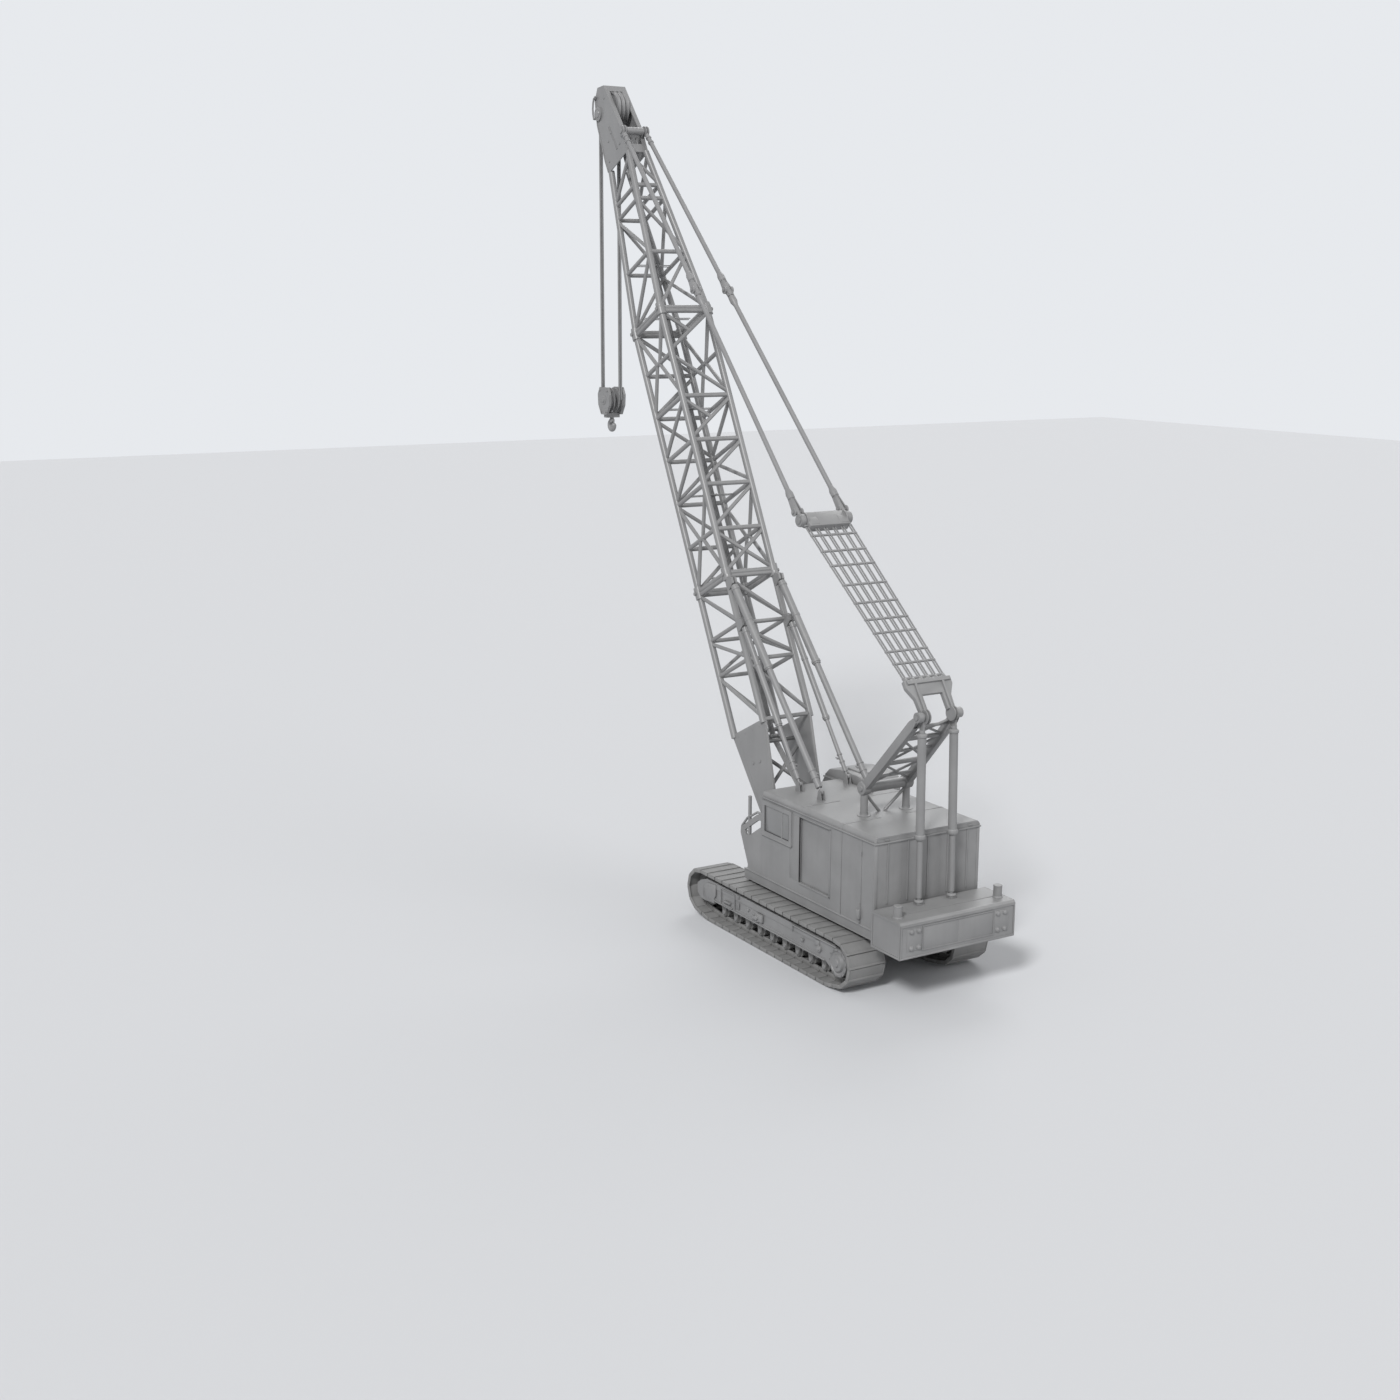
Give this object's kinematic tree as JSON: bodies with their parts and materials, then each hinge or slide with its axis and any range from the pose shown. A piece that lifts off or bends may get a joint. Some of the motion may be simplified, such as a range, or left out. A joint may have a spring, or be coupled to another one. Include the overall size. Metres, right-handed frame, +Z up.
{
  "type": "lattice-boom crawler crane",
  "caption": "Crawler crane with a swinging machinery house and cab, a lattice boom on pendant stays from a gantry, and a hook block on its falls.",
  "frame": {"origin": "on the ground under the centre of the swing ring", "axes": "+X to the operator's right, +Y forward along the tracks and the boom, +Z up"},
  "size_m": [3.203, 13.1587, 16.8296],
  "materials": {
    "machine_paint": "matt grey",
    "boom_paint": "matt grey",
    "running_gear": "matt grey, unpainted",
    "wire_rope": "dull steel",
    "pin_steel": "dull steel",
    "window_glass": "dark tinted",
    "seat_trim": "matt"
  },
  "bodies": {
    "undercarriage": {"carbody": "machine_paint", "side_frames": "machine_paint", "track_left": "running_gear", "track_right": "running_gear", "bottom_rollers": "running_gear", "idlers": "running_gear", "sprockets": "running_gear", "final_drives": "machine_paint"},
    "upper": {"deck": "machine_paint", "house_left": "machine_paint", "house_right": "machine_paint", "house_rear": "machine_paint", "house_front": "machine_paint", "house_bulkhead": "machine_paint", "house_roof": "machine_paint", "engine": "machine_paint", "front_guard": "machine_paint", "cab": "machine_paint", "window_glass": "window_glass", "seat": "seat_trim", "counterweight": "machine_paint", "gantry_legs": "machine_paint", "gantry_masts": "machine_paint", "gantry_pins": "pin_steel"},
    "side_door": {"side_door": "machine_paint"},
    "cab_door": {"cab_door": "machine_paint", "door_glass": "window_glass"},
    "front_drum": {"front_drum": "machine_paint"},
    "rear_drum": {"rear_drum": "machine_paint"},
    "boom_drum": {"boom_drum": "machine_paint"},
    "boom": {"boom_butt": "boom_paint", "boom_mid": "boom_paint", "boom_top": "boom_paint", "boom_head": "boom_paint"},
    "head_sheaves": {"head_sheaves": "pin_steel"},
    "stays": {"pendants": "pin_steel", "spreader": "machine_paint", "hoist_falls": "wire_rope"},
    "bridle": {"bridle": "machine_paint"},
    "stop_tubes": {"stop_tubes": "machine_paint"},
    "stop_rods": {"stop_rods": "pin_steel"},
    "prop_tubes": {"prop_tubes": "machine_paint"},
    "prop_rods": {"prop_rods": "pin_steel"},
    "falls": {"load_falls": "wire_rope"},
    "hook_block": {"hook_block": "machine_paint"},
    "block_sheaves": {"block_sheaves": "pin_steel"},
    "hook": {"hook": "pin_steel"}
  },
  "joints": [
    {"name": "swing", "type": "hinge", "parent": "undercarriage", "child": "upper", "pos_m": [0, 0, 1], "axis": [0, 0, 1], "continuous": true},
    {"name": "side_door_slide", "type": "slide", "parent": "upper", "child": "side_door", "axis": [0, 1, 0], "range_m": [-1.3, 0]},
    {"name": "cab_door_hinge", "type": "hinge", "parent": "upper", "child": "cab_door", "pos_m": [1.592, 0.378, 2], "axis": [0, 0, -1], "range_deg": [0, 100]},
    {"name": "front_drum_spin", "type": "hinge", "parent": "upper", "child": "front_drum", "pos_m": [0, 0.15, 1.7], "axis": [1, 0, 0], "continuous": true},
    {"name": "rear_drum_spin", "type": "hinge", "parent": "upper", "child": "rear_drum", "pos_m": [0, -0.62, 1.7], "axis": [1, 0, 0], "continuous": true},
    {"name": "boom_drum_spin", "type": "hinge", "parent": "upper", "child": "boom_drum", "pos_m": [0, -1.33, 1.62], "axis": [1, 0, 0], "continuous": true},
    {"name": "boom_hoist", "type": "hinge", "parent": "upper", "child": "boom", "pos_m": [0, 0.988, 1.477], "axis": [1, 0, 0], "range_deg": [-33, 16]},
    {"name": "head_sheave_spin", "type": "hinge", "parent": "boom", "child": "head_sheaves", "pos_m": [0, 8.96865, 16.25002], "axis": [1, 0, 0], "continuous": true},
    {"name": "pendant_pivot", "type": "hinge", "parent": "boom", "child": "stays", "pos_m": [0, 7.8545, 15.82333], "axis": [1, 0, 0], "range_deg": [-1.8, 3.5]},
    {"name": "bridle_travel", "type": "slide", "parent": "stays", "child": "bridle", "axis": [0, -0.7857, -0.6186], "range_m": [-1.5, 3.1], "deforming": ["hoist_falls"]},
    {"name": "stop_pivot", "type": "hinge", "parent": "boom", "child": "stop_tubes", "pos_m": [0, 2.8403, 6.76436], "axis": [1, 0, 0], "range_deg": [-0.2, 0.4]},
    {"name": "stop_slide", "type": "slide", "parent": "stop_tubes", "child": "stop_rods", "axis": [0, -0.6655, -0.7464], "range_m": [-0.6, 1.2]},
    {"name": "prop_pivot", "type": "hinge", "parent": "boom", "child": "prop_tubes", "pos_m": [0, 2.43761, 5.97404], "axis": [1, 0, 0], "range_deg": [-5.5, 2.7]},
    {"name": "prop_slide", "type": "slide", "parent": "prop_tubes", "child": "prop_rods", "axis": [0, -0.5954, -0.8034], "range_m": [-0.45, 0.91]},
    {"name": "fall_pivot", "type": "hinge", "parent": "boom", "child": "falls", "pos_m": [0, 8.96865, 16.25002], "axis": [1, 0, 0], "range_deg": [-16, 33]},
    {"name": "hook_hoist", "type": "slide", "parent": "falls", "child": "hook_block", "axis": [0, 0, 1], "range_m": [-9.2, 2.5], "deforming": ["load_falls"]},
    {"name": "block_sheave_spin", "type": "hinge", "parent": "hook_block", "child": "block_sheaves", "pos_m": [0, 8.96865, 10.07002], "axis": [1, 0, 0], "continuous": true},
    {"name": "hook_swivel", "type": "hinge", "parent": "hook_block", "child": "hook", "pos_m": [0, 8.96865, 9.77002], "axis": [0, 0, 1], "continuous": true}
  ],
  "couplings": [
    {"joint": "pendant_pivot", "follows": "boom_hoist", "ratio": -0.104},
    {"joint": "bridle_travel", "follows": "boom_hoist", "m_per_rad": -5.3},
    {"joint": "stop_pivot", "follows": "boom_hoist", "ratio": -0.01},
    {"joint": "stop_slide", "follows": "boom_hoist", "m_per_rad": -2.06},
    {"joint": "prop_pivot", "follows": "boom_hoist", "ratio": 0.165},
    {"joint": "prop_slide", "follows": "boom_hoist", "m_per_rad": -1.56},
    {"joint": "fall_pivot", "follows": "boom_hoist", "ratio": -1}
  ]
}
